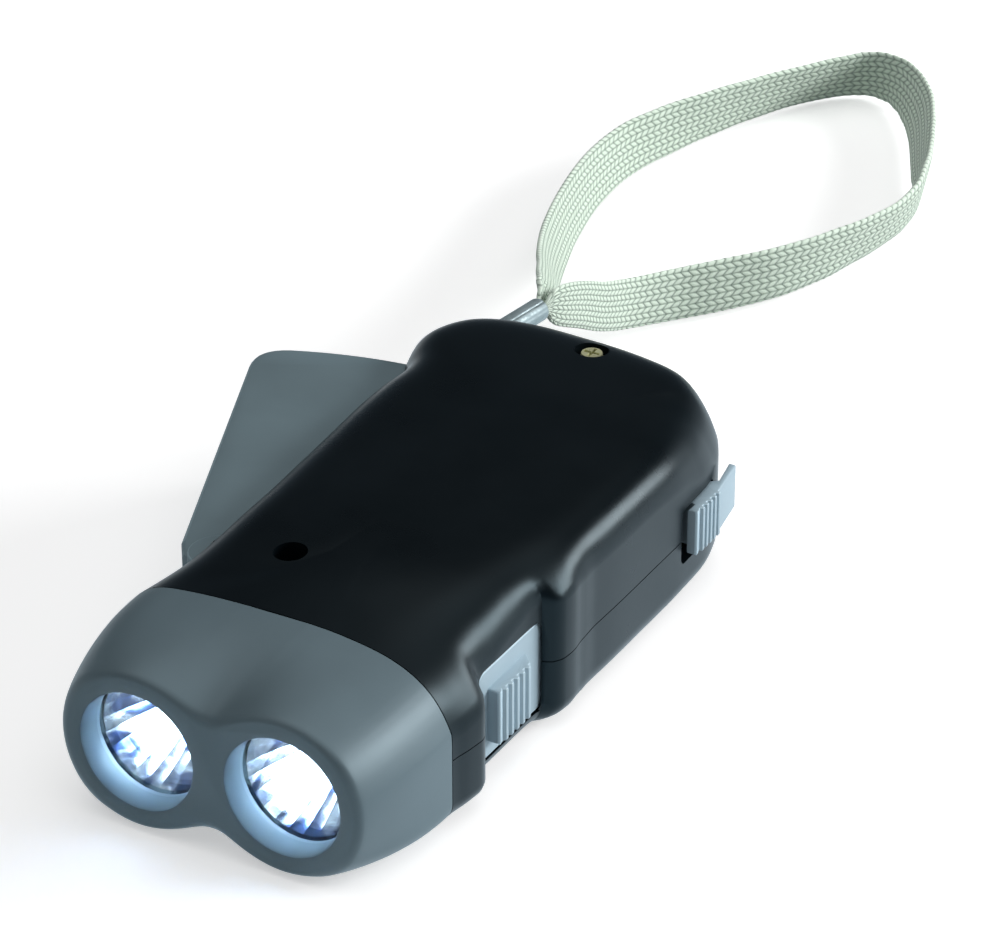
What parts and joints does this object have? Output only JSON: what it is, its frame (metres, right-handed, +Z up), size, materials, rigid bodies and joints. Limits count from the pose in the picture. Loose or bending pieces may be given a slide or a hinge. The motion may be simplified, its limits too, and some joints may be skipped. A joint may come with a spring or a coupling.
{
  "type": "hand crank flashlight",
  "caption": "Squeeze-dynamo hand flashlight with twin lamps, a grip lever on its side, a lamp slide, a lever lock and a wrist strap.",
  "frame": {"origin": "on the flat underside, on the body's middle line, 54 mm behind the lamp face", "axes": "+Y from the lamps to the tail along the body, +Z up from the underside, +X to the side of the slides"},
  "size_m": [0.0728, 0.2447, 0.0246],
  "materials": {
    "casing": "satin near-black",
    "bezel": "satin grey blue",
    "lever": "fine matt grey blue",
    "slide": "satin light grey blue",
    "lens": "clear",
    "mirror": "metallised",
    "led": "clear",
    "board": "green lacquer",
    "steel": "bright",
    "zinc": "yellow zinc",
    "gear": "natural acetal",
    "magnet": "sintered",
    "copper": "enamelled",
    "strap": "herringbone braid",
    "black": "black"
  },
  "bodies": {
    "casing": {"lower_casing": "casing", "upper_casing": "casing", "head_bezel": "bezel", "lens_left": "lens", "lens_right": "lens", "reflector_left": "mirror", "reflector_right": "mirror", "led_left": "led", "led_right": "led", "led_board": "board", "gear_axle_1": "steel", "gear_axle_2": "steel", "rotor_axle": "steel", "lever_pin": "steel", "stator_yoke_lower": "steel", "stator_yoke_upper": "steel", "coil_bobbin": "gear", "coil_winding": "copper", "slide_switch": "steel", "circuit_board": "board", "button_cell": "steel", "case_screw_front": "zinc", "case_screw_rear": "zinc", "strap_ferrule": "steel", "wrist_strap": "strap"},
    "lever": {"trigger_lever": "lever", "return_spring": "steel"},
    "first_gear": {"gear_1": "gear"},
    "second_gear": {"gear_2": "gear"},
    "clutch": {"clutch_pinion": "gear"},
    "rotor": {"flywheel": "gear", "ring_magnet": "magnet"},
    "switch": {"switch_slide": "slide", "switch_knob": "black"},
    "lock": {"lock_slide": "slide"}
  },
  "joints": [
    {"name": "lever_hinge", "type": "hinge", "parent": "casing", "child": "lever", "pos_m": [-0.019, -0.021, 0.012], "axis": [0, 0, -1], "range_deg": [0, 22], "stiffness_Nm_per_rad": 0.12, "springref_deg": -34.38},
    {"name": "first_gear_spin", "type": "hinge", "parent": "casing", "child": "first_gear", "pos_m": [-0.00372, 0.01683, 0.014], "axis": [0, 0, -1], "continuous": true},
    {"name": "second_gear_spin", "type": "hinge", "parent": "casing", "child": "second_gear", "pos_m": [0.00677, 0.00755, 0.015], "axis": [0, 0, -1], "continuous": true},
    {"name": "clutch_spin", "type": "hinge", "parent": "casing", "child": "clutch", "pos_m": [0.003, -0.008, 0.014], "axis": [0, 0, -1], "continuous": true},
    {"name": "rotor_spin", "type": "hinge", "parent": "casing", "child": "rotor", "pos_m": [0.003, -0.008, 0.008], "axis": [0, 0, -1], "continuous": true},
    {"name": "switch_slide_travel", "type": "slide", "parent": "casing", "child": "switch", "axis": [0, 1, 0], "range_m": [0, 0.0025]},
    {"name": "lock_slide_travel", "type": "slide", "parent": "casing", "child": "lock", "axis": [0, -1, 0], "range_m": [0, 0.0014]}
  ],
  "couplings": [
    {"joint": "first_gear_spin", "follows": "lever_hinge", "ratio": -7.5},
    {"joint": "second_gear_spin", "follows": "lever_hinge", "ratio": 18.75},
    {"joint": "clutch_spin", "follows": "lever_hinge", "ratio": -41.25},
    {"joint": "rotor_spin", "follows": "lever_hinge", "ratio": -41.25}
  ]
}
